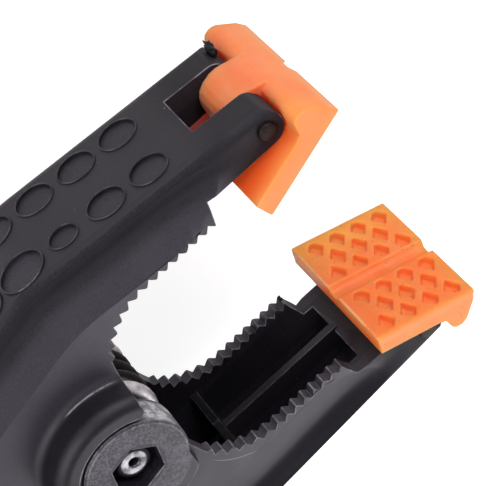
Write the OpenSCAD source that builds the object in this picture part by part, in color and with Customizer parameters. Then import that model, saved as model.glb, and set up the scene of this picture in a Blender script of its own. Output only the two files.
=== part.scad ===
// Spring clamp: two identical channel-shaped arms on a hollow rivet, a torsion spring and
// two swivelling jaw pads. The clamp lies on its side: X runs along it to the jaws, Y across
// its opening to the upper arm, Z along the pivot. The origin is on the pivot at the face
// that the clamp rests on. The lower arm is the upper one turned over about X.

/* [Jaw] */
// Distance from the pivot to the pad pins along the clamp
jaw_len = 51.1; // [46:0.1:58]
// Height of the pad pins over the middle of the clamp, with the jaws open
pin_height = 30.2; // [28:0.1:34]
// Radius of the pad pins
pin_r = 1.6; // [1.2:0.05:2]
// How far each pad pin stands out of the prongs
pin_proud = 0.8; // [0.2:0.05:1]
// Radius of the prong tips round the pad pins
tip_r = 3.2; // [2.8:0.05:3.25]
// Radius of the prong tips' upper corners
brow_r = 2.6; // [1.5:0.1:3]
// Height of the spine over the pad pins
spine_over_pin = 3.8; // [3.4:0.05:5]
// Slope of the jaw's spine
jaw_slope = 4.9; // [3:0.1:7]
// Half width of the slot between the prongs
slot_half = 4.9; // [4:0.1:6]
// Distance from the pad pin back to the slot's closed end
slot_back = 8.5; // [7:0.1:10]
// Thickness of the wall at the slot's closed end
end_wall = 3.6; // [2.4:0.1:5]

/* [Arm section] */
// Width of an arm
arm_w = 22.6; // [20:0.2:26]
// Thickness of the cheeks and skirts
wall = 2.4; // [2:0.1:2.8]
// Thickness of the spine
spine_t = 2.6; // [2:0.1:3.2]
// Radius of the spine's outer edges
spine_edge_r = 2.2; // [1.5:0.1:3]
// Depth of the waist along each side, under the spine
waist_depth = 2.1; // [1.2:0.1:2.4]
// Radius of the waist's hollow
waist_r = 2.5; // [2:0.1:3.5]
// Distance from the spine down to the middle of the waist
waist_drop = 3.6; // [3:0.1:4.5]
// Distance from the spine down to where the flank is at full width again
flank_drop = 12.6; // [9:0.1:15]

/* [Bend and handle] */
// Place along the clamp where the jaw's spine starts to bend
bend_x = 14; // [12:0.5:16]
// Radius of the bend
bend_r = 40; // [36:0.5:46]
// Slope of the handle towards the middle of the clamp
handle_slope = 15.5; // [14:0.1:16]
// Length of the handle behind the bend
handle_len = 88; // [76:1:92]
// Distance of the handle's inner edge from the middle of the clamp at its tip
handle_gap = 3.6; // [3.4:0.1:4.5]
// Distance of the handle's inner edge from the middle of the clamp at the hub
hub_gap = 3; // [2:0.1:3.5]
// Radius of the handle tip's corners, seen from outside
handle_tip_r = 8; // [4:0.5:10]

/* [Teeth] */
// Height of the straight row of tooth tips over the middle of the clamp
teeth_y = 22.3; // [21.8:0.1:23]
// Distance from the pad pin back to the first tooth
teeth_back = 15.5; // [14.5:0.1:17]
// Distance from the pad pin back to the corner where the skirt steps down
step_back = 14.1; // [13.4:0.1:14.5]
// Place along the clamp where the curved row of teeth starts
throat_x = 21; // [19:0.1:23]
// Radius of the curved row of teeth
throat_r = 12.9; // [11:0.1:13.5]
// Angle that the curved row of teeth turns through
throat_turn = 60; // [50:1:62]
// Distance from tooth to tooth
tooth_pitch = 2.1; // [1.8:0.05:2.6]
// Depth of the teeth
tooth_depth = 1.1; // [0.6:0.05:1.3]

/* [Dimples] */
// Distance from dimple to dimple
dimple_pitch = 8.3; // [8.2:0.1:10]
// Distance of both rows of dimples from the spine's middle
dimple_z = 5.6; // [5:0.1:6]
// Length of a dimple
dimple_len = 6.6; // [5:0.1:7]
// Width of a dimple
dimple_w = 5.6; // [4:0.1:6]
// Depth of a dimple
dimple_depth = 0.4; // [0.2:0.05:0.8]
// Width and height of the rim round a dimple
dimple_rim = 0.3; // [0.2:0.05:0.5]

/* [Hub] */
// Half of the hub's thickness, which is half of the clamp's
hub_half = 17.9; // [17:0.1:20]
// Radius of the discs
disc_r = 9.5; // [9.2:0.05:10]
// Chamfer of the discs' edges
disc_chamfer = 0.4; // [0.2:0.1:1]
// Outer radius of the hook rings
ring_r = 14.3; // [13.5:0.1:15]
// Radius of the hook rings' rounded edges
ring_edge_r = 2.3; // [1:0.1:3]
// Width of the bevel on the hook rings' inner edges
ring_bevel = 0.7; // [0.3:0.1:1]
// Height over the middle of the clamp at which the hook rings end in front
hook_y = 8.5; // [8:0.1:9.5]
// Radius of the hook rings' corners in front
hook_r = 1.2; // [0.5:0.1:2]
// Radius of the fillet at the foot of the hook rings
ring_fillet_r = 1.6; // [1:0.1:2]
// Radius of the cheek round the rivet, under the other arm's disc
eye_r = 7.6; // [7:0.1:8.5]
// Distance of the cheeks' front edges from the pivot
cheek_front = 8; // [7:0.1:8.5]
// Half width of the tongues that carry the discs, behind the pivot
tongue_back = 8.6; // [7:0.1:9]
// Radius where the tongues start to step down to the skirts
step_r = 11.6; // [11:0.1:13]
// Radius where the tongues meet the skirts
foot_r = 15.2; // [14:0.1:16]
// Distance across the corners of the hexagon pockets
hex_d = 9.6; // [8.6:0.1:10.4]
// Depth of the hexagon pockets
hex_depth = 3.6; // [3:0.1:4]
// Turn of the hexagon pockets
hex_turn = 14; // [0:1:30]
// Outer radius of the bosses that the spring goes round
boss_r = 6; // [4.4:0.1:6.2]

/* [Rivet] */
// Radius of the rivet's shank
rivet_r = 2.5; // [2.1:0.1:2.8]
// Radius of the rivet's hole
rivet_hole_r = 0.8; // [0.5:0.1:1.2]
// Radius of the rivet's heads
rivet_head_r = 3.5; // [3.2:0.1:3.8]
// Height of the rivet's heads
rivet_head_h = 1.8; // [1.2:0.1:2.2]

/* [Spring] */
// Diameter of the spring's wire
wire_d = 2.7; // [2.4:0.1:2.8]
// Radius of the middle of the coil's wire
coil_r = 8.1; // [7.9:0.1:8.3]
// Distance from turn to turn
coil_pitch = 3.25; // [3.25:0.05:3.35]
// Whole turns of the coil, besides the part turn between the legs
coil_turns = 4; // [3:1:4]
// Distance from the pivot back to the legs' ends
leg_x = 38; // [30:1:45]
// Distance of the legs' ends from the middle of the width
leg_z = 3.5; // [3:0.1:4.4]

/* [Pads] */
// Width of a pad
pad_w = 30; // [26:0.5:34]
// Length of a pad behind its pin
pad_in = 11.4; // [10.6:0.1:11.6]
// Length of a pad in front of its pin
pad_out = 8.5; // [8.4:0.1:9.2]
// Distance from the pin to the pad's face
pad_face = 7.2; // [7:0.1:7.4]
// Thickness of the pad's plate
pad_t = 3.8; // [3.4:0.05:3.8]
// Angle of the pads to the middle of the clamp, with the jaws open
pad_turn = 21.5; // [19:0.5:23]
// Half width of the boss between the prongs
lug_half = 4.6; // [3.6:0.1:4.7]
// Depth of the diamond recesses
cell_depth = 1.6; // [0.8:0.1:2]
// Half length of a recess along the pad
cell_e = 1.6; // [1:0.1:1.7]
// Half width of a recess across the pad
cell_z = 2.3; // [1.5:0.1:2.5]
// Distance from recess to recess along the pad
cell_pitch = 4.5; // [4.2:0.1:4.8]
// Distance between rows of recesses
row_pitch = 4.1; // [3.9:0.1:4.3]
// Radius of the groove across the middle of the face
groove_r = 2; // [1.2:0.1:2.4]
// Depth of that groove
groove_depth = 1.2; // [0.6:0.1:1.6]

/* [Fits] */
// Radial clearance of the rivet and the pad pins in what turns on them
running_gap = 0.05; // [0.03:0.01:0.09]
// Radial clearance of the pad pins in the prongs that hold them
held_gap = 0.02; // [0.01:0.01:0.03]
// Radial clearance between a disc and the hook ring round it
ring_gap = 0.2; // [0.1:0.01:0.3]
// Clearance between faces that pass each other
face_gap = 0.3; // [0.2:0.05:0.4]

/* [Hidden] */
$fn = 64;

nylon = [0.13, 0.12, 0.14];
orange = [0.96, 0.45, 0.2];
steel = [0.75, 0.75, 0.77];
dark_steel = [0.2, 0.14, 0.13];
over = 1;             // how far cutters reach past what they cut
deep = 60;            // depth of the swept section, past everything that it has to reach
far = 120;            // length of cutters and sweeps that are trimmed by others

half_w = arm_w / 2;
inner = half_w - wall;                    // half width of the channel
disc_bottom = half_w + face_gap;          // inner face of the discs
pocket_floor = hub_half - hex_depth;
pin_at = [jaw_len, pin_height];
end_x = jaw_len - slot_back - end_wall;   // inner face of the wall behind the slot
prong_y = pin_height - tip_r;             // lower edge of the prongs

// Points of an arc from a0 to a1 in n steps, to a thousandth, so that pieces share their corners exactly
function neat(x) = round(x * 1000) / 1000;
function arc(c, r, a0, a1, n) = [for (i = [0:n]) let (a = a0 + (a1 - a0) * i / n)
    [neat(c[0] + r * cos(a)), neat(c[1] + r * sin(a))]];

// The angle near a whose sine and cosine are closest to short decimals: shapes turned by it keep
// their size to the last digit and meet their neighbours exactly
function short_turn(a) = let (
    last_digit = sin(a) < 0.1 ? 1e-7 : 1e-6,
    steps = [-200:200],
    cosines = [for (k = steps) (round(cos(a) * 1e6) + k) / 1e6],
    misses = [for (c = cosines) let (s = sqrt(1 - c * c)) abs(s - round(s / last_digit) * last_digit)],
    least = min(misses))
    [for (i = [0:len(misses) - 1]) if (misses[i] == least) acos(cosines[i])][0];

// Spine: a sloping line over the jaw, an arc over the hub, a sloping line over the handle
jaw_turn = short_turn(jaw_slope);
bend_turn = short_turn(jaw_slope + handle_slope);
handle_turn = bend_turn - jaw_turn;
function jaw_y(x) = pin_height + spine_over_pin + (jaw_len - x) * tan(jaw_turn);
bend_start = [bend_x, jaw_y(bend_x)];
bend_at = bend_start - bend_r * [sin(jaw_turn), cos(jaw_turn)];
bend_end = bend_at + bend_r * [-sin(handle_turn), cos(handle_turn)];
bend_len = bend_r * bend_turn * PI / 180;
function handle_y(x) = bend_end[1] + (x - bend_end[0]) * tan(handle_turn);
handle_x = bend_end[0] - handle_len * cos(handle_turn);   // the handle's tip

// Teeth: tips at even steps along a straight row and then along an arc round the throat
throat_at = [throat_x, teeth_y - throat_r];
teeth_x = jaw_len - teeth_back;
row_n = round((teeth_x - throat_x) / tooth_pitch);
row_step = (teeth_x - throat_x) / row_n;
arc_n = round(throat_r * throat_turn * PI / 180 / tooth_pitch);
arc_step = throat_turn / arc_n;
tip_part = 0.14;      // part of a pitch on each side that the rounded tip takes
tip_drop = 0.2;       // depth of the tooth at the edge of its rounded tip
function tooth_point(i, d) = i <= row_n ? [teeth_x - row_step * i, teeth_y + d]
    : throat_at + (throat_r + d) * [cos(90 + arc_step * (i - row_n)), sin(90 + arc_step * (i - row_n))];
teeth = [for (i = [0:row_n + arc_n]) each [
    if (i > 0) tooth_point(i - 0.5, tooth_depth),
    if (i > 0) tooth_point(i - tip_part, tip_drop),
    tooth_point(i, 0),
    if (i < row_n + arc_n) tooth_point(i + tip_part, tip_drop)]];
last_tip = teeth[len(teeth) - 1];

// Side outline of an arm, without what is round the pivot
heel_r = 3;           // radius of the handle tip's inner corner
toe_r = 4;            // radius of the handle tip's outer corner
toe_at = [handle_x + toe_r, handle_y(handle_x + toe_r) - toe_r / cos(handle_turn)];
cheek_y = 11.8;       // height at which the cheek's front edge is measured
outline = concat(
    [[jaw_len, jaw_y(jaw_len) + over]],
    arc([jaw_len, jaw_y(jaw_len) - brow_r], brow_r, 90, 35, 6),
    arc(pin_at, tip_r, 40, -90, 14),
    [[jaw_len - step_back, prong_y]],
    teeth,
    [last_tip + [-0.9, -0.3], [cheek_front, cheek_y], [cheek_front - 0.8, cheek_y / 2], [0, hub_gap],
        [-ring_r - ring_fillet_r, hub_gap]],
    arc([handle_x + heel_r, handle_gap + heel_r], heel_r, -90, -180, 8),
    arc(toe_at, toe_r, 180, 90 + handle_turn, 8),
    [[handle_x, bend_end[1]], [bend_at[0], bend_start[1] + bend_r / 4]]);

// Sections across the arm, as [place across, height over the spine]
section = concat(
    [[half_w, -deep]],
    arc([half_w - spine_edge_r, -spine_edge_r], spine_edge_r, 0, 90, 8),
    arc([spine_edge_r - half_w, -spine_edge_r], spine_edge_r, 90, 180, 8),
    [[-half_w, -deep]]);
waist_at = [half_w - waist_depth + waist_r, -waist_drop];
flank_lean = atan(waist_depth / (flank_drop - waist_drop));
waist_section = concat(
    [[half_w + over, 0], [waist_at[0], 0]],
    arc(waist_at, waist_r, 90, 180 + flank_lean, 16),
    [[half_w, -flank_drop], [half_w + over, -flank_drop]]);
crown = inner - waist_depth;              // half width of the channel under the spine
crown_edge = 0.6;
half_channel = [[crown - crown_edge, -spine_t], [crown, -spine_t - crown_edge], [crown, -waist_drop],
    [inner, -flank_drop], [inner, -deep]];
channel_section = concat(half_channel, [for (i = [len(half_channel) - 1:-1:0])
    [-half_channel[i][0], half_channel[i][1]]]);

// Puts its children on the spine where the bend starts: X forwards, Y outwards
module on_jaw() {
    translate(bend_start) rotate([0, 0, -jaw_turn]) children();
}

// The same for where the bend ends, as seen from where it starts
module past_bend() {
    translate([0, -bend_r, 0]) rotate([0, 0, bend_turn]) translate([0, bend_r, 0]) children();
}

// Sweeps a section along the handle, the bend and the jaw. The bend is a quarter turn, cut off
// in the plane where the handle starts
module sweep(points) {
    module straight() {
        rotate([90, 0, 90]) linear_extrude(far) polygon([for (p = points) [p[1], p[0]]]);
    }
    on_jaw() {
        straight();
        difference() {
            translate([0, -bend_r, 0]) rotate([0, 0, 90]) rotate_extrude(angle = 90, $fn = 128)
                polygon([for (p = points) [max(0, bend_r + p[1]), p[0]]]);
            past_bend() translate([-far, -far, -far / 2]) cube([far, 2 * far, far]);
        }
        past_bend() translate([-far, 0, 0]) straight();
    }
}

// Everything between the handle's tip and x1 that lies inside the arm's plan, less an inset
module plan(inset, x1) {
    r = handle_tip_r - inset;
    side = half_w - handle_tip_r;
    back = handle_x + handle_tip_r;
    rotate([90, 0, 0]) linear_extrude(2 * far, center = true) polygon(concat(
        [[x1, half_w - inset]], arc([back, side], r, 90, 180, 12),
        arc([back, -side], r, 180, 270, 12), [[x1, inset - half_w]]));
}

// Puts its children on the spine, s in front of the bend's start: X forwards, Y outwards
module on_spine(s) {
    turned = -s / bend_r * 180 / PI;
    on_jaw() {
        if (s >= 0)
            translate([s, 0, 0]) children();
        else if (-s < bend_len)
            translate([0, -bend_r, 0]) rotate([0, 0, turned]) translate([0, bend_r, 0]) children();
        else
            past_bend() translate([s + bend_len, 0, 0]) children();
    }
}

// The waist under both edges of the spine, running out of the surface before the prongs
runout_r = 30;
runout_s = (end_x - 8 - bend_x) / cos(jaw_turn);
module waist() {
    module groove() {
        difference() {
            sweep(waist_section);
            on_spine(runout_s) translate([0, -deep, -far / 2]) cube([2 * far, 2 * deep, far]);
        }
        // the axis of this turn stands beside the arm and points away from the spine
        on_spine(runout_s) translate([0, 0, waist_at[0] + runout_r]) rotate([90, 0, 0])
            rotate([0, 0, -90]) rotate_extrude(angle = 40, $fn = 128)
            polygon([for (p = waist_section) [waist_at[0] + runout_r - p[0], -p[1]]]);
    }
    groove();
    mirror([0, 0, 1]) groove();
}

// Dimples in two rows along the spine. The first ones of one row differ in size
dimple_s = (jaw_len - 17.5 - bend_x) / cos(jaw_turn);     // the first dimple's place
dimple_end = bend_len + handle_len - handle_tip_r - dimple_len / 2;
dimple_n = floor((dimple_s + dimple_end) / dimple_pitch);
first_sizes = [1, 1, 0.75, 1.2];
function oval(l, w) = [for (i = [0:23]) [l / 2 * cos(i * 15), w / 2 * sin(i * 15)]];
module dimples(grow, bottom, top) {
    for (side = [1, -1], i = [0:dimple_n]) {
        size = side > 0 && i < len(first_sizes) ? first_sizes[i] : 1;
        on_spine(dimple_s - i * dimple_pitch) translate([0, top, side * dimple_z]) rotate([90, 0, 0])
            linear_extrude(top - bottom) polygon(oval(size * dimple_len + grow, size * dimple_w + grow));
    }
}

// Ribs in the jaw's channel: one along its middle and one across it
rib_t = 1.5;
rib_x = bend_x - 1.5;
module ribs() {
    linear_extrude(rib_t) polygon([[rib_x, prong_y - 0.6], [end_x + over, prong_y - 0.6],
        [end_x + over, jaw_y(end_x) - spine_t / 2], [rib_x, bend_start[1] - spine_t / 2]]);
    reach = inner + (wall - waist_depth) / 2;      // into the walls, short of the waist
    translate([rib_x - rib_t / 2, teeth_y + 1.7, -reach])
        cube([rib_t, bend_start[1] - teeth_y - 1.7 - spine_t / 2, 2 * reach]);
}

// Hook ring on one cheek, round the other arm's disc
ring_in = disc_r + ring_gap;
module hook_ring() {
    profile = concat(
        [[ring_in, half_w - over], [ring_r + ring_fillet_r, half_w - over]],
        arc([ring_r + ring_fillet_r, half_w + ring_fillet_r], ring_fillet_r, 270, 180, 8),
        arc([ring_r - ring_edge_r, hub_half - ring_edge_r], ring_edge_r, 0, 90, 8),
        [[ring_in + ring_bevel, hub_half], [ring_in, hub_half - ring_bevel]]);
    hook_x = cheek_front - 0.5;
    reach = concat([[-far, 0], [0, 0], [0, hook_y]],
        arc([hook_x - hook_r, hook_y + hook_r], hook_r, -90, 0, 6),
        [[cheek_front, cheek_y], [far, cheek_y], [far, far], [-far, far]]);
    intersection() {
        rotate_extrude($fn = 128) polygon(profile);
        linear_extrude(far) polygon(outline);
        linear_extrude(far) polygon(reach);
    }
}

// Disc on the other cheek, with the tongue that steps out to it from the skirt
module disc() {
    foot_in = disc_r + ring_gap;
    profile = [[0, disc_bottom], [foot_in, disc_bottom], [foot_in, half_w - over], [foot_r, half_w - over],
        [foot_r, half_w], [step_r + 1, hub_half - 1.6], [step_r, hub_half], [0, hub_half]];
    intersection() {
        rotate_extrude($fn = 128) polygon(profile);
        linear_extrude(far) polygon([[disc_r - 1.2, 0], [cheek_front - 0.8, disc_r], [cheek_front, foot_r + over],
            [-tongue_back, foot_r + over], [-tongue_back, 0]]);
    }
    rotate_extrude($fn = 128) polygon([[0, disc_bottom], [disc_r, disc_bottom],
        [disc_r, hub_half - disc_chamfer], [disc_r - disc_chamfer, hub_half], [0, hub_half]]);
}

// One arm, as it lies on the upper side, with the middle of its width at z = 0
module arm() {
    bore = rivet_r + running_gap;
    color(nylon) difference() {
        union() {
            difference() {
                intersection() {
                    sweep(section);
                    plan(0, far);
                    union() {
                        linear_extrude(far) union() {
                            polygon(outline);
                            circle(eye_r);
                        }
                        mirror([0, 0, 1]) linear_extrude(far) difference() {
                            polygon(outline);
                            circle(eye_r + over);
                        }
                    }
                }
                intersection() {
                    sweep(channel_section);
                    plan(wall, end_x);
                }
                waist();
            }
            ribs();
            hook_ring();
            mirror([0, 0, 1]) disc();
            translate([0, 0, face_gap / 2]) cylinder(h = inner + over, r = boss_r);
            dimples(2 * dimple_rim, -over, dimple_rim);
        }
        dimples(0, -dimple_depth, over);
        cylinder(h = far, r = bore, center = true);
        translate([0, 0, -far - pocket_floor]) rotate([0, 0, -hex_turn]) cylinder(h = far, d = hex_d, $fn = 6);
        translate([jaw_len - slot_back, 0, -slot_half]) cube([far, far, 2 * slot_half]);
        translate(pin_at) cylinder(h = far, r = pin_r + held_gap, center = true);
    }
}

// One pad, with its pin's axis at the origin: X along the face, -Y towards the other pad
module pad() {
    back = pad_face - pad_t;
    lip = [[pad_out, -pad_face], [pad_out - 0.4, -4.8], [pad_out - 2.1, -1.4], [pad_out - 3, -0.7],
        [pad_out - 3.8, -0.5], [pad_out - 4.6, -0.6], [pad_out - 5.2, -1.1], [pad_out - 6.3, -3.1]];
    lug = [[-6, -back - over], [-6, -back], [-5.5, -2], [-5, -0.5], [-4.3, 1], [-3.4, 2.1], [-2.2, 2.8], [-0.8, 3.1],
        [0.8, 3], [2.2, 2.5], [3.4, 1.6], [4.4, 0.7], [pad_out - 3, -0.1], [pad_out - 2, -1.4],
        [pad_out - 2.4, -back - over]];
    color(orange) difference() {
        union() {
            linear_extrude(pad_w, center = true)
                polygon(concat([[-pad_in, -pad_face]], lip, [[0.7, -back], [0.4 - pad_in, -back]]));
            linear_extrude(2 * lug_half, center = true) polygon(lug);
        }
        cylinder(h = far, r = pin_r + running_gap, center = true);
        translate([0, -pad_face - groove_r + groove_depth, 0]) rotate([0, 90, 0])
            cylinder(h = far, r = groove_r, center = true);
        translate([0, cell_depth - pad_face, 0]) rotate([90, 0, 0]) linear_extrude(cell_depth + over) cells();
    }
}

// Diamond recesses in staggered rows, cut straight along the groove and along the pad's sides
module cells() {
    first_row = groove_r + 1.9;
    first_e = 3.6 - pad_in;
    low = groove_r + 0.5;
    high = pad_w / 2 - 1.4;
    for (side = [1, -1]) intersection() {
        for (row = [0:2], k = [0:3 - row % 2])
            translate([first_e + (k + row % 2 / 2) * cell_pitch, side * (first_row + row * row_pitch)])
                polygon([[cell_e, 0], [0, cell_z], [-cell_e, 0], [0, -cell_z]]);
        translate([-pad_in, side > 0 ? low : -high]) square([pad_in + pad_out, high - low]);
    }
}

module pad_pin() {
    h = half_w + pin_proud;
    edge = 0.25;
    color(dark_steel) translate(pin_at) rotate_extrude() polygon([[0, -h], [pin_r - edge, -h],
        [pin_r, edge - h], [pin_r, h - edge], [pin_r - edge, h], [0, h]]);
}

// Lifts a piece from the middle of the clamp's thickness to its place over the resting face
module upper() {
    translate([0, 0, hub_half]) children();
}

module lower() {
    upper() rotate([180, 0, 0]) children();
}

module upper_arm() {
    upper() arm();
}

module lower_arm() {
    lower() arm();
}

module upper_pad() {
    upper() translate(pin_at) rotate([0, 0, pad_turn]) pad();
}

module lower_pad() {
    lower() translate(pin_at) rotate([0, 0, pad_turn]) pad();
}

module upper_pad_pin() {
    upper() pad_pin();
}

module lower_pad_pin() {
    lower() pad_pin();
}

// Hollow rivet: a shank through both arms and a rolled head in each hexagon pocket
module pivot_rivet() {
    seat = pocket_floor + running_gap;
    roll = rivet_head_h / 2;
    half = concat([[rivet_hole_r, 0], [rivet_r, 0], [rivet_r, seat], [rivet_head_r - roll, seat]],
        arc([rivet_head_r - roll, seat + roll], roll, -90, 90, 10),
        [[rivet_hole_r + 0.4, seat + 2 * roll], [rivet_hole_r, seat + roll]]);
    color(steel) upper() for (side = [0, 1]) mirror([0, 0, side]) rotate_extrude() polygon(half);
}

// Torsion spring: a coil between the cheeks, with a straight leg into each handle
curl_rings = 8;
wire_sides = 6;
leg_seat = handle_y(-leg_x) - (spine_t + face_gap + wire_d / 2) / cos(handle_turn);
leg_end = [-leg_x, leg_seat, leg_z];
leg_turn = atan2(leg_end[1], leg_end[0]) - acos(coil_r / norm([leg_end[0], leg_end[1]]));
coil_turn = 2 * leg_turn + 360 * coil_turns;
coil_h = coil_pitch * coil_turn / 360;
coil_n = round(coil_turn / 360 * curl_rings);
coil = [for (i = [0:coil_n]) let (a = coil_turn * i / coil_n - leg_turn)
    [coil_r * cos(a), coil_r * sin(a), coil_h * (i / coil_n - 0.5)]];
wire_path = concat([[leg_end[0], -leg_end[1], -leg_end[2]]], coil, [leg_end]);
turn_gap = min([for (i = [0:coil_n - curl_rings + 2], j = [i + curl_rings - 2:coil_n]) norm(coil[i] - coil[j])])
    - wire_d;
echo(least_gap_between_turns = turn_gap);

function unit(v) = v / norm(v);
module tube(path, r, sides) {
    last = len(path) - 1;
    rings = [for (i = [0:last])
        let (t = unit(path[min(i + 1, last)] - path[max(i - 1, 0)]), u = unit(cross(t, [0, 0, 1])), w = cross(u, t))
        for (j = [0:sides - 1]) path[i] + r * (cos(360 * j / sides) * u + sin(360 * j / sides) * w)];
    walls = [for (i = [0:last - 1], j = [0:sides - 1])
        let (a = i * sides + j, b = i * sides + (j + 1) % sides) each [[a, b + sides, a + sides], [a, b, b + sides]]];
    ends = [for (j = [1:sides - 2]) each [[0, j + 1, j], [last * sides, last * sides + j, last * sides + j + 1]]];
    polyhedron(rings, concat(walls, ends), convexity = 10);
}

module torsion_spring() {
    color(steel) upper() tube(wire_path, wire_d / 2, wire_sides);
}

upper_arm();
lower_arm();
upper_pad();
lower_pad();
upper_pad_pin();
lower_pad_pin();
pivot_rivet();
torsion_spring();
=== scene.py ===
from math import cos, radians, sin

import bmesh
import bpy
from mathutils import Matrix, Vector, noise

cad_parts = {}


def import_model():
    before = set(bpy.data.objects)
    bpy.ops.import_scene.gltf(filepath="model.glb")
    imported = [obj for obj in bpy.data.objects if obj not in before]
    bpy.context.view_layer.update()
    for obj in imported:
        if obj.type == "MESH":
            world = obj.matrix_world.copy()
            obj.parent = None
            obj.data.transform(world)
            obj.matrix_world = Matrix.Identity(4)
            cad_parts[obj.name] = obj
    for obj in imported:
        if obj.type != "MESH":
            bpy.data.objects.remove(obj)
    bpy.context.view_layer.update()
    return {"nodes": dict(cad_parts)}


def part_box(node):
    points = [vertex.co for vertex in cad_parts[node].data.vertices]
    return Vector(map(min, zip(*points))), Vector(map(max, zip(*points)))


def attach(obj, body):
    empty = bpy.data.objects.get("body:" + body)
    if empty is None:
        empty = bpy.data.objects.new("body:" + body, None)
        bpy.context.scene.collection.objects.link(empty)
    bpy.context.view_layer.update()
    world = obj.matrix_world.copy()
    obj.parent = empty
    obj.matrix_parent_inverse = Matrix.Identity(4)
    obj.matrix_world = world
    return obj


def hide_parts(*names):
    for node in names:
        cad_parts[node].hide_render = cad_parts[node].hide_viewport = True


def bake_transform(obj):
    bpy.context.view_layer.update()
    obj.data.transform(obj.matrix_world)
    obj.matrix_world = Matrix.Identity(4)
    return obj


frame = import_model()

MM = 0.001
ARMS = ("upper_arm", "lower_arm")
PADS = ("upper_pad", "lower_pad")
PINS = ("upper_pad_pin", "lower_pad_pin")

# The clamp's sizes in mm, counted from the pivot and from the middle plane of the hub
HUB_HALF = 17.9                      # the hub's flat faces
ARM_HALF = 11.3                      # the outside of an arm's cheeks
CHANNEL_HALF = 8.9                   # the inside of them
DISC_R = 9.5                         # the hub's disc, which the other arm's hook ring goes round
POCKET_R = 5.0                       # the hexagon pocket in the disc
RING_R = 14.5                        # the foot of the hook ring
FLANK_DROP = 12.6                    # the crease along the flank, from the spine down
PIN_MM = (51.1, 30.2)                # a pad's pin, along the clamp and across it
PIN_R = 1.6
PIN_PROUD = 0.8                      # how far a pin stands out of each prong
PAD_TURN = 21.5                      # degrees between a pad's face and the middle of the clamp

# How the mouldings are finished
ARM_BEVEL = 0.16                     # mm, on the arms' outer corners
CORNER_FOLD = radians(34)            # a sharper fold than this is a corner
CREASE_FOLDS = (radians(12.4), radians(14.2))
PAD_GRAIN = 0.22                     # mm, the even faces of the pads
NYLON_GLOSS = 0.34
NYLON_ROUGH = 0.4


def middle(node):
    low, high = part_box(node)
    return (low + high) / 2


PIVOT = middle("pivot_rivet")
PIN_AT = {pad: middle(pad + "_pin") for pad in PADS}


# ---------------------------------------------------------------- nodes

class Value:
    """A socket of a node tree. Maths on it adds Math nodes."""

    def __init__(self, tree, socket):
        self.tree, self.socket = tree, socket

    def maths(self, operation, *values):
        return self.tree.node("Math", {"operation": operation}, dict(enumerate(values)))

    def __add__(self, other):
        return self.maths("ADD", self, other)

    def __sub__(self, other):
        return self.maths("SUBTRACT", self, other)

    def __rsub__(self, other):
        return self.maths("SUBTRACT", other, self)

    def __mul__(self, other):
        return self.maths("MULTIPLY", self, other)

    __radd__ = __add__
    __rmul__ = __mul__

    def size(self):
        return self.maths("ABSOLUTE", self)

    def larger(self, other):
        return self.maths("MAXIMUM", self, other)

    def smaller(self, other):
        return self.maths("MINIMUM", self, other)

    def rise(self, low, high):
        """0 where this is under low, 1 over high, and a smooth rise between; low may be the larger."""
        return self.tree.node("MapRange", {"interpolation_type": "SMOOTHSTEP"},
                              {0: self, 1: low, 2: high, 3: 0, 4: 1})

    def band(self, at, half):
        """1 close to a value, falling to 0 at half a band's width from it."""
        return (self - at).size().rise(half, half * 0.4)


class Nodes:
    """The nodes of a material or of the world, which all come from node()."""

    def __init__(self, owner):
        owner.use_nodes = True
        self.nodes, self.links = owner.node_tree.nodes, owner.node_tree.links

    def feed(self, node, inputs):
        for key, value in inputs.items():
            if isinstance(value, Value):
                self.links.new(value.socket, node.inputs[key])
            else:
                node.inputs[key].default_value = value

    def node(self, kind, settings=None, inputs=None, output=0):
        made = self.nodes.new("ShaderNode" + kind)
        for key, value in (settings or {}).items():
            setattr(made, key, value)
        self.feed(made, inputs or {})
        return Value(self, made.outputs[output])

    def seen(self):
        """1 for rays from the camera, off gloss or through glass, and 0 for light that falls on things."""
        camera, gloss, glass = (self.node("LightPath", output=f"Is {kind} Ray")
                                for kind in ("Camera", "Glossy", "Transmission"))
        return camera.larger(gloss).larger(glass)


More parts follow.
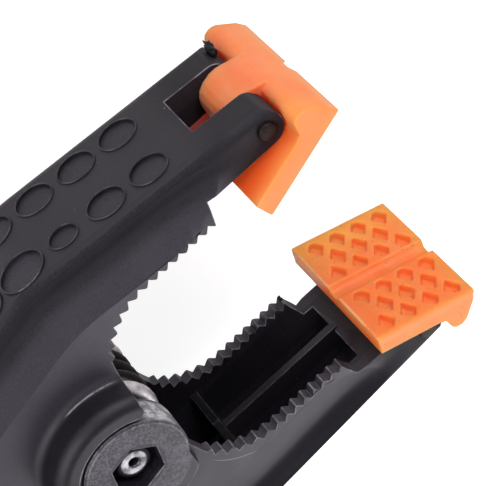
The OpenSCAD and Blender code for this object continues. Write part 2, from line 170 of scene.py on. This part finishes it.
class Finish(Nodes):
    """A material on the Principled shader. Its patterns are in mm from one place on the clamp."""

    def __init__(self, name, constants, place_mm=(0, 0, 0), turn=(0, 0, 0)):
        self.material = bpy.data.materials.new(name)
        super().__init__(self.material)
        self.surface = self.nodes["Principled BSDF"]
        self.feed(self.surface, constants)
        self.place = self.node("Mapping", {"vector_type": "TEXTURE"}, {
            "Vector": self.node("TexCoord", output="Object"), "Location": tuple(c * MM for c in place_mm),
            "Rotation": turn, "Scale": (MM, MM, MM)})

    def wear(self, **inputs):
        """Links values to the surface's own sockets, such as Base_Color."""
        self.feed(self.surface, {key.replace("_", " "): value for key, value in inputs.items()})

    def noise(self, grain_mm, detail=2.0, rough=0.5, stretch=(1, 1, 1)):
        """Noise with lumps of that size, from 0 to 1, drawn out along the axes by stretch."""
        spread = self.node("Mapping", {}, {"Vector": self.place, "Scale": tuple(1 / s for s in stretch)})
        return self.node("TexNoise", {}, {"Vector": spread, "Scale": 1 / grain_mm, "Detail": detail,
                                          "Roughness": rough})

    def specks(self, pitch_mm, radius):
        """Scattered round dots, 1 inside. Their radius is a share of the pitch."""
        far = self.node("TexVoronoi", {"feature": "F1"}, {"Vector": self.place, "Scale": 1 / pitch_mm})
        return far.rise(radius, radius * 0.6)

    def mix(self, share, a, b):
        return self.node("Mix", {"data_type": "RGBA"}, {0: share, 6: a, 7: b}, output=2)

    def layers(self, base, *coats):
        """The base colour under more colours, each given as the share of it that shows and the colour."""
        for share, colour in coats:
            base = self.mix(share, base, colour)
        return base

    def bump(self, height, depth_mm, under=None):
        inputs = {"Height": height, "Distance": depth_mm * MM, "Strength": 1.0}
        if under:
            inputs["Normal"] = under
        return self.node("Bump", {}, inputs)

    def part(self, axis):
        """The place along one axis, in mm."""
        return self.node("SeparateXYZ", {}, {0: self.place}, output=axis)

    def radius(self, x=0.0, y=0.0, z=None):
        """The distance in mm from an upright line, or from a point where z is given."""
        flat = 0 if z is None else 1
        away = self.node("VectorMath", {"operation": "SUBTRACT"}, {0: self.place, 1: (x, y, z or 0)})
        away = self.node("VectorMath", {"operation": "MULTIPLY"}, {0: away, 1: (1, 1, flat)})
        return self.node("VectorMath", {"operation": "LENGTH"}, {0: away}, output="Value")


def linear(red, green, blue):
    """A colour given as it looks on screen, 0 to 255, in the light values that sockets hold."""
    def one(level):
        level /= 255
        return level / 12.92 if level <= 0.04045 else ((level + 0.055) / 1.055) ** 2.4
    return (one(red), one(green), one(blue), 1.0)


# ---------------------------------------------------------------- finishes

def black_nylon(arm):
    """Glass-filled nylon: fine mottled grain, scuffed hub faces, rubbed edges, dust and a few scratches,
    under painted shade and painted highlights.
    """
    upper = arm == "upper_arm"
    side = 1 if upper else -1
    finish = Finish(arm + "_nylon", {"IOR": 1.5, "Metallic": 0.0, "Specular IOR Level": NYLON_GLOSS,
                                     "Specular Tint": (0.97, 0.9, 1.0, 1.0)}, place_mm=(0, 0, HUB_HALF))
    cloud = finish.noise(11, detail=3)
    smudge = finish.noise(2.2, detail=4, rough=0.65)
    grain = finish.noise(0.42, detail=3, rough=0.7)
    fine = finish.noise(0.2, detail=2, rough=0.6)
    fibre = finish.noise(0.5, detail=2, stretch=(5, 1, 1))

    # x runs from the pivot to the jaws, y from the pivot to this arm's spine and z from the middle plane
    x, y, z = finish.part(0), side * finish.part(1), finish.part(2)
    height = z.size()
    outside = height.rise(CHANNEL_HALF + 0.1, CHANNEL_HALF + 0.3)
    round_pivot = finish.radius()

    # The spine falls along the jaw and along the handle, and drop is the depth under it
    jaw_spine, handle_spine = 38.4 - 0.0857 * x, 35.9 + 0.2773 * x
    drop = jaw_spine.smaller(handle_spine) - y

    # The hub's flat faces have rubbed on other tools, the disc's side has pale scuffs and a painted
    # highlight, and the hook ring is dark
    disc = height.rise(HUB_HALF - 0.6, HUB_HALF - 0.1) * round_pivot.rise(POCKET_R - 0.1, POCKET_R + 0.1) * \
        round_pivot.rise(DISC_R + 0.7, DISC_R + 0.1)
    scuffed = disc * (0.72 + 0.28 * smudge.rise(0.35, 0.65))
    chipped = disc * finish.specks(0.45, 0.16) * smudge.rise(0.4, 0.6)
    # Pale scuffs and a painted highlight on part of the disc's side
    disc_side = height.rise(ARM_HALF + 0.5, 13) * height.rise(HUB_HALF - 0.1, HUB_HALF - 0.7) * \
        x.rise(5, 7.5) * round_pivot.band(DISC_R, 0.6) * y.rise(3.5, 1)
    scuffs_and_highlight = disc_side * (0.25 + 0.75 * smudge.rise(0.42, 0.62)) * (0.5 + 0.5 * fine.rise(0.35, 0.6))
    ring = round_pivot.rise(DISC_R + 0.1, DISC_R + 0.4) * round_pivot.rise(17, 15) * \
        height.rise(ARM_HALF + 0.1, ARM_HALF + 0.5)

    # Painted shade darkens the spine, the hollow under it, which stays smooth, and the prong, and a painted
    # sheen makes the flank paler
    spine = drop.rise(0.6, 0.1)
    hollow = drop.rise(0.2, 1.3) * drop.rise(9.5, 4) * outside * x.rise(58, 30)
    brow = drop.rise(0.1, 0.5) * drop.rise(6.5, 3.8) * outside * x.rise(48, 38)
    flank = drop.rise(5, 9) * outside * x.rise(44, 32) * height.rise(ARM_HALF + 0.5, ARM_HALF + 0.1)
    prong = x.rise(38, 46) * 0.5

    # Painted shade darkens the inside of the jaw's channel
    inside = height.rise(CHANNEL_HALF - 0.05, CHANNEL_HALF - 0.3) * y.rise(31.2, 30.4) * x.rise(9, 12)

    # Hands and work have rubbed the corners pale, and a painted shadow darkens the nylon round the pad's pin
    rubbed = finish.node("Attribute", {"attribute_name": "rubbed"}, output="Fac")
    edge = rubbed * (0.3 + 0.7 * smudge.rise(0.42, 0.6))
    dust = finish.specks(2.3, 0.05) * smudge.rise(0.5, 0.6) + \
        finish.specks(0.9, 0.09) * cloud.rise(0.6, 0.7) * 0.4
    painted_pin_shadow = finish.radius(PIN_MM[0], side * PIN_MM[1]).rise(PIN_R + 0.55, PIN_R + 0.15)

    base = finish.layers(
        finish.mix(grain.rise(0.3, 0.7), linear(11, 8, 14), linear(42, 39, 48)),
        (cloud.rise(0.35, 0.7) * 0.3, linear(40, 37, 45)),
        (scuffed, finish.mix(grain.rise(0.35, 0.65), linear(20, 17, 24), linear(88, 84, 93))),
        (chipped * 0.6, linear(124, 121, 128)),
        (scuffs_and_highlight, linear(214, 211, 219)),
        (ring * 0.7, linear(8, 7, 10)),
        # painted shade on the spine, the hollow and the prong, and a painted sheen on the flank
        (spine * 0.75, linear(10, 9, 12)),
        (hollow * 0.85, linear(8, 7, 10)),
        (flank * 0.45, linear(66, 63, 71)),
        (prong, linear(8, 7, 10)),
        (inside * 0.7, linear(9, 8, 11)),
        (edge * 0.75, linear(128, 125, 132)),
        (dust, linear(120, 118, 122)),
        (painted_pin_shadow, linear(9, 8, 8)))
    normal = finish.bump(fibre, 0.005, finish.bump(fine, 0.016, finish.bump(grain, 0.022)))
    if upper:
        # A painted highlight: a pale line along the foot of the hook ring
        angle = y.maths("ARCTAN2", y, x)
        line = round_pivot.band(RING_R, 0.1) * angle.rise(1.05, 1.2) * angle.rise(1.78, 1.65) * \
            height.rise(17, 14) * height.rise(ARM_HALF - 0.1, ARM_HALF + 0.2) * z.rise(0, 1)
        base = finish.mix(line * smudge.rise(0.35, 0.55) * 0.7, base, linear(140, 137, 142))
    else:
        # A moulding mark in the disc, a curved scratch, and the flank's crease rubbed pale
        mark = finish.radius(4.1, 7.65, HUB_HALF)
        normal = finish.bump(mark.band(0.55, 0.28), 0.16, normal)
        scratch = finish.radius(20.3, -11.6).band(13.4, 0.13) * x.rise(8.2, 9.5) * x.rise(15.5, 13.5) * \
            z.rise(ARM_HALF - 0.5, ARM_HALF - 0.1) * y.rise(14, 16)
        crease = drop.band(FLANK_DROP, 0.14) * outside * x.rise(16, 19) * x.rise(31, 28) * \
            smudge.rise(0.3, 0.5)
        base = finish.mix(scratch * 0.7 + crease * 0.6, base, linear(128, 125, 130))
    rough = NYLON_ROUGH + 0.08 * cloud.rise(0.3, 0.7) + 0.1 * grain - 0.1 * edge
    rough = rough + 0.4 * brow + 0.4 * prong - 0.06 * hollow
    finish.wear(Base_Color=base, Roughness=rough, Normal=normal)
    return finish.material


def orange_elastomer(pad):
    """Soft, slightly clear elastomer whose hollows hold dirt, with painted light: an amber glow towards its
    far edges and end, a deep red painted shade in the recess under the prong, painted light on the cell
    floors and painted highlights on the cell rims and the lower long edge.
    """
    upper = pad == "upper_pad"
    turn = radians(PAD_TURN)
    finish = Finish(pad + "_elastomer", {
        "IOR": 1.47, "Metallic": 0.0, "Subsurface Weight": 0.8, "Subsurface Radius": (1.0, 0.36, 0.13),
        "Subsurface Scale": 6.0 * MM, "Specular IOR Level": 0.4},
        place_mm=tuple(PIN_AT[pad] / MM), turn=(0, 0, turn) if upper else (radians(180), 0, -turn))
    cloud = finish.noise(6, detail=2)
    smudge = finish.noise(1.6, detail=3, rough=0.6)
    fine = finish.noise(0.35, detail=3)

    # From the pin: along the pad towards the jaw's end, away from the other pad, and across the jaw
    along, away, across = (finish.part(axis) for axis in range(3))
    width = across.size()
    # Painted light: an amber glow towards the far edges and the end
    glow_where_thin = across.rise(3.5, 14).larger(along.rise(3.5, 9.5) * 0.7).larger(across.rise(-12, -15.5) * 0.5)
    # Painted shade: a deep red in the recess under the prong
    hollow = away.rise(-0.5, -3.2) * away.rise(-5.2, -3.7) * along.rise(2.8, 0.6) * width.rise(15.5, 11)
    # Painted light lifts the cell floors
    cell = away.rise(-6.4, -5.9) * away.rise(-5.2, -5.7) * width.rise(1.9, 2.4)
    # Painted highlights on the cell rims
    cell_edge = away.rise(-7.0, -6.4) * away.rise(-5.2, -5.8) * width.rise(1.9, 2.5)
    dirt = finish.specks(0.8, 0.26) * smudge.rise(0.5, 0.56) * \
        ((0.1 if upper else 0.45) + 0.5 * cell) * cloud.rise(0.4, 0.55)
    # A painted highlight along the lower long edge
    painted_edge_highlight = (along + 11.3).size().rise(0.4, 0.15) * (away + 7.1).size().rise(0.4, 0.15) * \
        smudge.rise(0.35, 0.5)

    fresh = ((255, 122, 68), (255, 138, 92)) if upper else ((255, 122, 54), (255, 138, 72))
    base = finish.layers(
        finish.mix(cloud.rise(0.3, 0.7), *(linear(*colour) for colour in fresh)),
        (glow_where_thin * (0.5 if upper else 0.8), linear(254, 162, 72)),
        (hollow * 0.9, linear(255, 92, 26)),
        (cell * 0.45, linear(255, 146, 60)),
        (dirt * 0.85, linear(92, 44, 26)),
        (cell_edge * 0.7, linear(255, 150, 84)),
        (painted_edge_highlight * 0.5, linear(255, 196, 160)))
    finish.wear(Base_Color=base, Roughness=0.4 + 0.14 * cloud + 0.06 * smudge,
                Normal=finish.bump(fine, 0.006, finish.bump(smudge, 0.03)))
    return finish.material


def dark_pin_steel(pin):
    """Turned steel, dark with oil, with a few rust-brown specks."""
    finish = Finish(pin + "_steel", {"Metallic": 0.7}, place_mm=tuple(middle(pin) / MM))
    fine = finish.noise(0.5, detail=3)
    rings = finish.node("TexNoise", {"noise_dimensions": "1D"}, {"W": finish.radius() * 3, "Scale": 1.0})
    base = finish.layers(
        finish.mix(fine.rise(0.35, 0.65), linear(20, 13, 12), linear(38, 27, 25)),
        (finish.specks(0.7, 0.2) * 0.4, linear(76, 48, 34)))
    finish.wear(Base_Color=base, Roughness=0.4 + 0.2 * fine,
                Normal=finish.bump(rings, 0.02, finish.bump(fine, 0.015)))
    return finish.material


def bright_steel(name, dull, pale, drawn_along, rough, bright_past, bright_within=None):
    """Drawn steel, bright in places and dark elsewhere: a dark rivet head round a bright mouth to its bore,
    and painted shade over all of the spring but its end turns.

    It is bright past a distance from the middle plane, and within a radius where one is given.
    """
    finish = Finish(name, {"Metallic": 1.0}, place_mm=(0, 0, HUB_HALF))
    drawn = finish.noise(0.22, detail=3, stretch=drawn_along)
    cloud = finish.noise(2.4, detail=3)
    kept_bright = finish.part(2).size().rise(*bright_past)
    if bright_within:
        kept_bright = kept_bright * finish.radius().rise(*bright_within)
    # painted shade on the spring; on the rivet, a dark head
    darkened = 1 - kept_bright * (0.7 + 0.3 * cloud.rise(0.35, 0.5))
    base = finish.layers(
        finish.mix(cloud.rise(0.35, 0.65), dull, pale),
        (finish.specks(0.9, 0.16) * cloud.rise(0.45, 0.6), linear(88, 72, 60)),
        (darkened, linear(34, 30, 33)))
    finish.wear(Base_Color=base, Roughness=rough + 0.2 * drawn + 0.16 * darkened,
                Normal=finish.bump(cloud, 0.1, finish.bump(drawn, 0.008)))
    return finish.material


# ---------------------------------------------------------------- pieces

def in_scene(name, data):
    made = bpy.data.objects.new(name, data)
    bpy.context.scene.collection.objects.link(made)
    return made


def piece(name, mesh, material, body, slot, *nodes):
    """A finished piece that rides on a body and stands for CAD nodes."""
    made = in_scene(name, mesh)
    mesh.materials.clear()
    mesh.materials.append(material)
    for polygon in mesh.polygons:
        polygon.use_smooth = True
    if body:
        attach(made, body)
    if nodes:
        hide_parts(*nodes)
    return made


def mesh_of(name, bm):
    mesh = bpy.data.meshes.new(name)
    bm.to_mesh(mesh)
    bm.free()
    return mesh


def merged_copy(node):
    bm = bmesh.new()
    bm.from_mesh(frame["nodes"][node].data)
    bmesh.ops.remove_doubles(bm, verts=bm.verts, dist=0.0005 * MM)
    return bm


def on_ridge(edge):
    """True for an edge along the top of a cheek, over the waist, where the spine turns into the flank."""
    start, end = (vert.co / MM for vert in edge.verts)
    at_top = all(abs(abs(at.z - HUB_HALF) - ARM_HALF) < 0.5 and abs(at.y) > 30 for at in (start, end))
    return at_top and start.x < 44 and abs((start - end).normalized().z) < 0.3


def takes_bevel(edge):
    """True for an outer corner with room for its bevel. The ridge over the waist stays as it is."""
    if edge.calc_face_angle(0.0) <= CORNER_FOLD or not edge.is_convex or on_ridge(edge):
        return False
    room = 1.6 * ARM_BEVEL * MM
    return all(other.calc_length() > room for vert in edge.verts for other in vert.link_edges)


def arm_moulding(arm):
    """A copy of an arm with its outer corners rounded, and the rounded faces marked for the wear on them."""
    bm = merged_copy(arm)
    bmesh.ops.dissolve_limit(bm, angle_limit=radians(0.4), verts=bm.verts, edges=bm.edges)
    rubbed = bm.faces.layers.float.new("rubbed")
    for edge in bm.edges:
        fold = edge.calc_face_angle(0.0)
        edge.smooth = not (fold > CORNER_FOLD or CREASE_FOLDS[0] < fold < CREASE_FOLDS[1])
    rounded = bmesh.ops.bevel(bm, geom=[edge for edge in bm.edges if takes_bevel(edge)],
                              offset=ARM_BEVEL * MM, offset_type="OFFSET", affect="EDGES", segments=2,
                              profile=0.5, material=-1, clamp_overlap=False)
    for face in rounded["faces"]:
        centre = face.calc_center_median() / MM
        on_dimple = abs(centre.z - HUB_HALF) < 8.8 and centre.x < 38 and abs(centre.y) > 26
        face[rubbed] = 0.3 if on_dimple else 1.0
        for edge in face.edges:
            edge.smooth = True
    made = piece(arm + "_moulding", mesh_of(arm, bm), black_nylon(arm), arm, "nylon", arm)
    weigh = made.modifiers.new("flat faces stay flat", "WEIGHTED_NORMAL")
    weigh.weight, weigh.keep_sharp = 60, True


def slim_cells(bm):
    """Draws each diamond recess of a pad in along the pad and out across it, about its own middle."""
    cell_pitch, row_pitch = 4.5, 4.1
    first_cell, first_row = -7.8, 3.9
    reach_x, reach_z = 1.62, 2.32    # from a recess's middle past its corners
    for side, row in ((side, row) for side in (1, -1) for row in range(3)):
        for k in range(4 - row % 2):
            centre = Vector((first_cell + (k + row % 2 / 2) * cell_pitch, 0,
                             side * (first_row + row * row_pitch)))
            corners = [v for v in bm.verts if v.co.y < -5.5 * MM and
                       abs(v.co.x / MM - centre.x) < reach_x and abs(v.co.z / MM - centre.z) < reach_z]
            bmesh.ops.scale(bm, vec=(0.97, 1, 1.1), space=Matrix.Translation(-centre * MM), verts=corners)


def pad_moulding(pad):
    """A copy of a pad in small even faces, worked square to its own face and softened at every edge."""
    placed = Matrix.Translation(PIN_AT[pad])
    if pad == "lower_pad":
        placed = placed @ Matrix.Rotation(radians(180), 4, "X")
    placed = placed @ Matrix.Rotation(radians(PAD_TURN), 4, "Z")
    bm = merged_copy(pad)
    bmesh.ops.transform(bm, matrix=placed.inverted(), verts=bm.verts)
    slim_cells(bm)
    blank = in_scene(pad + "_blank", mesh_of(pad + "_blank", bm))
    even = blank.modifiers.new("even faces", "REMESH")
    even.mode, even.voxel_size, even.use_smooth_shade = "VOXEL", PAD_GRAIN * MM, True
    soft = blank.modifiers.new("soft edges", "SMOOTH")
    soft.factor, soft.iterations = 0.5, 4
    shaped = bpy.data.meshes.new_from_object(blank.evaluated_get(bpy.context.evaluated_depsgraph_get()))
    bpy.data.objects.remove(blank)
    shaped.transform(placed)
    piece(pad + "_moulding", shaped, orange_elastomer(pad), pad, "pad", pad)


def turned(points, steps=48):
    """A turned piece round the upright through the origin, from its outline as (radius, height) in mm."""
    bm = bmesh.new()
    verts = [bm.verts.new((r * MM, 0, z * MM)) for r, z in points]
    edges = [bm.edges.new(pair) for pair in zip(verts, verts[1:])]
    if points[0][0] > 0:
        edges.append(bm.edges.new((verts[-1], verts[0])))
    bmesh.ops.spin(bm, geom=verts + edges, cent=(0, 0, 0), axis=(0, 0, 1), angle=radians(360), steps=steps,
                   use_merge=True)
    bmesh.ops.remove_doubles(bm, verts=bm.verts, dist=0.001 * MM)
    bmesh.ops.recalc_face_normals(bm, faces=bm.faces)
    return bm


def arc(r, z, size, start, sweep, steps):
    """Points of an arc of that size about (r, z), clockwise from start, in degrees."""
    turns = [radians(start - sweep * step / steps) for step in range(steps + 1)]
    return [(r + size * cos(turn), z + size * sin(turn)) for turn in turns]


def mirrored(points):
    """The outline with its other half, which is below."""
    return points + [(r, -z) for r, z in reversed(points)]


def pin(node, arm):
    """A pad pin with softly domed ends and broken corners."""
    end, broken = ARM_HALF + PIN_PROUD, 0.25
    dome = [(0, end), (0.7, end - 0.02), (1.1, end - 0.07)]
    rim = arc(PIN_R - broken, end - 0.36, broken, 90, 90, 4)
    bm = turned(mirrored(dome + rim + [(PIN_R, 10.9)]))
    bmesh.ops.translate(bm, vec=middle(node), verts=bm.verts)
    piece(node + "_turned", mesh_of(node, bm), dark_pin_steel(node), arm, "pin_steel", node)


def rivet():
    """The hollow rivet: its heads are rolled over outwards and flare a little into the bore."""
    bore_r, shank_r, head_r = 0.8, 2.5, 3.5
    seat, top, flare = 14.35, 16.15, 0.45  # a head's underside and top, and the flare of its mouth
    roll = (top - seat) / 2
    bore, shank = [(bore_r, 0.5), (bore_r, 14.9)], [(shank_r, seat), (shank_r, 0.5)]
    head = arc(bore_r + flare, top - flare, flare, 180, 90, 5) + \
        arc(head_r - roll, seat + roll, roll, 90, 180, 12)
    bm = turned(mirrored(bore + head + shank))
    bmesh.ops.translate(bm, vec=PIVOT, verts=bm.verts)
    steel = bright_steel("drawn_rivet_steel", linear(92, 89, 95), linear(150, 147, 154), (1, 1, 8),
                         rough=0.3, bright_past=(14.9, 15.3), bright_within=(2.5, 2.1))
    piece("hollow_rivet", mesh_of("hollow_rivet", bm), steel, "lower_arm", "rivet_steel", "pivot_rivet")


def extruded(bm, loop):
    """Extrudes a loop of edges in its place. Gives the new loop and its vertices."""
    grown = bmesh.ops.extrude_edge_only(bm, edges=loop)["geom"]
    ends = [v for v in grown if isinstance(v, bmesh.types.BMVert)]
    return [e for e in grown if isinstance(e, bmesh.types.BMEdge) and all(v in ends for v in e.verts)], ends


def spring():
    """Round wire: a straight leg, four turns and a part turn, and the other leg."""
    wire_r, coil_r, coil_height = 1.35, 8.1, 14.2941
    start, whole = -71.674, 1583.35  # degrees: where the coil starts, and how far it turns
    leg_end = Vector((-38, -21.1192, -3.5))
    coil_steps, leg_steps = int(whole / 10), 6
    bm = bmesh.new()
    ring = bmesh.ops.create_circle(bm, cap_ends=False, segments=20, radius=wire_r * MM)["verts"]
    stand = Matrix.Rotation(radians(start), 4, "Z") @ \
        Matrix.Translation((coil_r * MM, 0, -coil_height / 2 * MM)) @ Matrix.Rotation(radians(90), 4, "X")
    bmesh.ops.transform(bm, matrix=stand, verts=ring)
    first = list(bm.edges)
    spun = bmesh.ops.spin(bm, geom=ring + first, cent=(0, 0, 0), axis=(0, 0, 1), angle=radians(whole),
                          dvec=(0, 0, coil_height / coil_steps * MM), steps=coil_steps, use_merge=False)
    last = [e for e in spun["geom_last"] if isinstance(e, bmesh.types.BMEdge)]
    for loop, end in ((first, leg_end), (last, Vector((leg_end.x, -leg_end.y, -leg_end.z)))):
        centre = sum((v.co for e in loop for v in e.verts), Vector()) / (2 * len(loop))
        for _ in range(leg_steps):
            loop, ends = extruded(bm, loop)
            bmesh.ops.translate(bm, vec=(end * MM - centre) / leg_steps, verts=ends)
        for size in (0.9, 0.75):
            loop, ends = extruded(bm, loop)
            tip = sum((v.co for v in ends), Vector()) / len(ends)
            bmesh.ops.scale(bm, vec=(size,) * 3, space=Matrix.Translation(-tip), verts=ends)
        bmesh.ops.edgeloop_fill(bm, edges=loop)
    bmesh.ops.recalc_face_normals(bm, faces=bm.faces)
    bmesh.ops.translate(bm, vec=PIVOT, verts=bm.verts)
    # The spring's end turns stay bright, and painted shade darkens the turns and legs between them
    steel = bright_steel("drawn_spring_wire", linear(140, 137, 141), linear(186, 183, 187), (2, 2, 1),
                         rough=0.4, bright_past=(4.5, 5.1))
    made = piece("wire_spring", mesh_of("wire_spring", bm), steel, None, "spring_steel", "torsion_spring")
    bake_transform(made)


def crumb(name, at_mm, size_mm, arm, seed):
    """A torn bit of moulding flash that still clings to an edge."""
    bm = bmesh.new()
    bmesh.ops.create_icosphere(bm, subdivisions=4, radius=1.0)
    shift = Vector((seed, 2 * seed, 0))
    for vert in bm.verts:
        push = noise.noise(vert.co * 1.6 + shift) + 0.7 * noise.noise(vert.co * 4 - shift)
        vert.co *= 1 + 0.5 * push + 0.18 * noise.noise(vert.co * 9 + shift)
    bmesh.ops.scale(bm, vec=tuple(s / 2 * MM for s in size_mm), verts=bm.verts)
    bmesh.ops.translate(bm, vec=PIVOT + Vector(at_mm) * MM, verts=bm.verts)
    finish = Finish(name + "_nylon", {"IOR": 1.5, "Specular IOR Level": 0.25, "Roughness": 0.6})
    finish.wear(Base_Color=finish.mix(finish.noise(0.4), linear(6, 5, 8), linear(24, 22, 27)))
    piece(name, mesh_of(name, bm), finish.material, arm, "nylon")


for arm in ARMS:
    arm_moulding(arm)
for pad in PADS:
    pad_moulding(pad)
for node, arm in zip(PINS, ARMS):
    pin(node, arm)
rivet()
spring()
crumb("prong_flash", at_mm=(53.95, 33.4, -8.3), size_mm=(1.3, 2.7, 2.7), arm="upper_arm", seed=3.1)
crumb("tooth_flash", at_mm=(35.6, -22.3, -10.3), size_mm=(0.7, 1.1, 1.0), arm="lower_arm", seed=7.7)


# ---------------------------------------------------------------- floor, light and camera

def floor(shade, seen):
    """A pale floor that adds a little white of its own where it is seen."""
    bm = bmesh.new()
    bmesh.ops.create_grid(bm, x_segments=1, y_segments=1, size=4.0)
    made = in_scene("floor", mesh_of("floor", bm))
    made.location.z = -0.02 * MM
    pale = Finish("pale_floor", {"Base Color": (shade, shade, shade, 1), "Roughness": 0.9,
                                 "Specular IOR Level": 0.0, "Emission Color": (1, 1, 1, 1)})
    pale.wear(Emission_Strength=seen * pale.seen())
    made.data.materials.append(pale.material)


def world(light, seen, overhead):
    """An even light. Where it is seen or reflected it is white all round, and dim overhead."""
    studio = bpy.data.worlds.new("studio")
    bpy.context.scene.world = studio
    sky = Nodes(studio)
    upwards = sky.node("SeparateXYZ", {}, {0: sky.node("TexCoord", output="Generated")}, output="Z")
    dome = seen + (overhead - seen) * upwards.rise(0.6, 0.96)
    strength = light + sky.seen() * (dome - light)
    sky.feed(sky.nodes["Background"], {"Color": (1, 1, 1, 1), "Strength": strength})


def softbox(name, place_mm, size_mm, watts):
    """A square lamp that faces the clamp's jaws."""
    lamp = bpy.data.lights.new(name, "AREA")
    lamp.size, lamp.energy = size_mm * MM, watts
    place = Vector(place_mm) * MM
    aim = PIVOT + Vector((20, 0, 0)) * MM
    turn = (place - aim).to_track_quat("Z", "Y").to_matrix()
    in_scene(name, lamp).matrix_world = Matrix.Translation(place) @ turn.to_4x4()


def camera(eye_mm, right, up, lens_mm, shift):
    """The camera, from its place, two directions of its frame, and its lens."""
    lens = bpy.data.cameras.new("camera")
    lens.lens, lens.sensor_width = lens_mm, 36.0
    lens.shift_x, lens.shift_y = shift
    lens.clip_start, lens.clip_end = 0.01, 20.0
    right = Vector(right).normalized()
    back = right.cross(Vector(up)).normalized()
    turn = Matrix((right, back.cross(right), back)).transposed()
    made = in_scene("camera", lens)
    made.matrix_world = Matrix.Translation(Vector(eye_mm) * MM) @ turn.to_4x4()
    bpy.context.scene.camera = made


floor(shade=0.5, seen=0.86)
world(light=0.26, seen=1.0, overhead=0.05)
softbox("key", (-420, 300, 430), size_mm=420, watts=3.0)
softbox("back", (70, -480, 420), size_mm=380, watts=2.0)
softbox("side", (340, 500, 220), size_mm=300, watts=2.4)
camera((33.4, 232.8, 249.8), right=(0.7413, -0.4644, 0.4845), up=(0.6706, 0.5413, -0.5072),
       lens_mm=140.25, shift=(-0.0293, -0.0411))
bpy.context.scene.view_settings.view_transform = "Standard"
